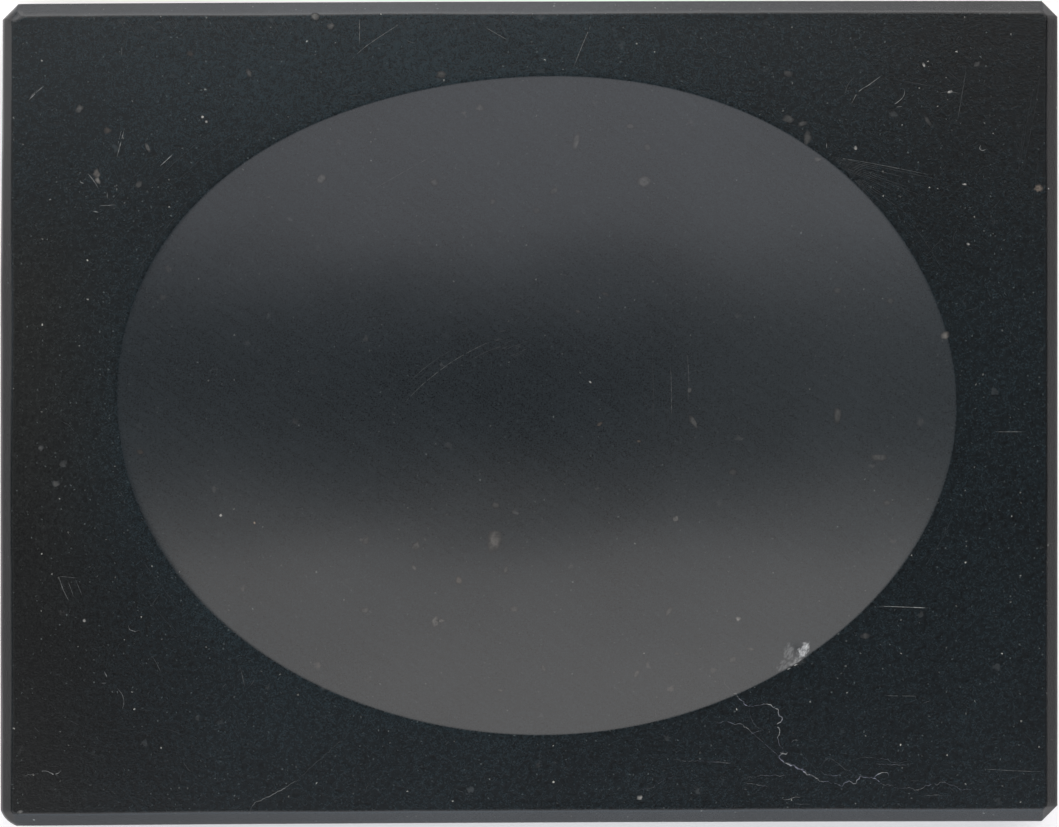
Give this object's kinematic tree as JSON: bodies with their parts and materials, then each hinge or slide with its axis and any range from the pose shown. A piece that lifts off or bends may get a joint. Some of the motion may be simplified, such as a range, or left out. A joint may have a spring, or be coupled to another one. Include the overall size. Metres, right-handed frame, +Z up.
{
  "type": "dished stone slab",
  "caption": "Flat rectangular basalt massage stone with bevelled edges, clipped corners and a shallow oval dish ground into its top.",
  "frame": {"origin": "middle of the flat underside, at the level the stone rests on", "axes": "+X along the slab's long side, +Y across it towards the edge with the narrowest land, +Z up through the dish"},
  "size_m": [0.11, 0.086, 0.018],
  "materials": {
    "basalt": "dark grey basalt, hand rubbed to a dull sheen on the flats and smoother in the dish"
  },
  "bodies": {
    "root": {"stone_slab": "basalt"}
  },
  "joints": []
}
